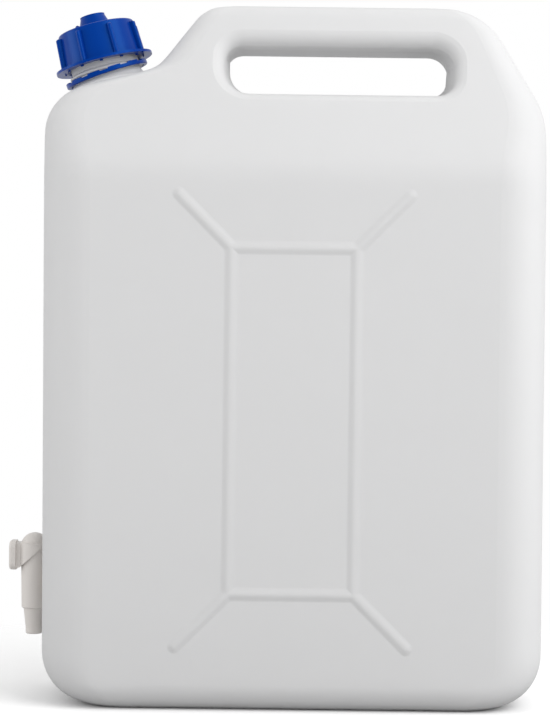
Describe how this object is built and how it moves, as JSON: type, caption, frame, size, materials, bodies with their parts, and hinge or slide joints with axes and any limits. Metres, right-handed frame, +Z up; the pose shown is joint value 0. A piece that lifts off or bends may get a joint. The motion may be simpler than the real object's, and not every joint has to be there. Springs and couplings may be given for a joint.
{
  "type": "water can with tap",
  "caption": "Flat upright plastic water can with a handle hole, a ribbed screw cap with a flip-up vent, and a lever tap at the foot of one narrow side.",
  "frame": {"origin": "centre of the base, on the plane the can stands on", "axes": "+Z up; +X along the broad face, away from the neck and tap; the pictured broad face looks towards -Y"},
  "size_m": [0.3633, 0.124, 0.475],
  "materials": {
    "can_plastic": "satin",
    "cap_plastic": "satin",
    "tap_plastic": "satin",
    "liner_foam": "matte",
    "gasket_rubber": "matte"
  },
  "bodies": {
    "can": {"can_body": "can_plastic", "tamper_band": "cap_plastic", "tap_gasket": "gasket_rubber", "tap_body": "tap_plastic"},
    "cap_seal": {"cap_liner": "liner_foam"},
    "cap": {"screw_cap": "cap_plastic"},
    "vent": {"vent_lid": "cap_plastic"},
    "plug": {"tap_plug": "tap_plastic"}
  },
  "joints": [
    {"name": "cap_rise", "type": "slide", "parent": "can", "child": "cap_seal", "axis": [-0.2588, 0, 0.9659], "range_m": [0, 0.03]},
    {"name": "cap_turn", "type": "hinge", "parent": "cap_seal", "child": "cap", "pos_m": [-0.1321, 0, 0.43517], "axis": [-0.2588, 0, 0.9659], "range_deg": [0, 1800]},
    {"name": "vent_flip", "type": "hinge", "parent": "cap", "child": "vent", "pos_m": [-0.15159, 0, 0.45883], "axis": [0, -1, 0], "range_deg": [0, 95]},
    {"name": "tap_turn", "type": "hinge", "parent": "can", "child": "plug", "pos_m": [-0.17627, 0, 0.099], "axis": [0, 0, 1], "range_deg": [0, 90]}
  ],
  "couplings": [
    {"joint": "cap_rise", "follows": "cap_turn", "m_per_rad": 0.00095493}
  ]
}
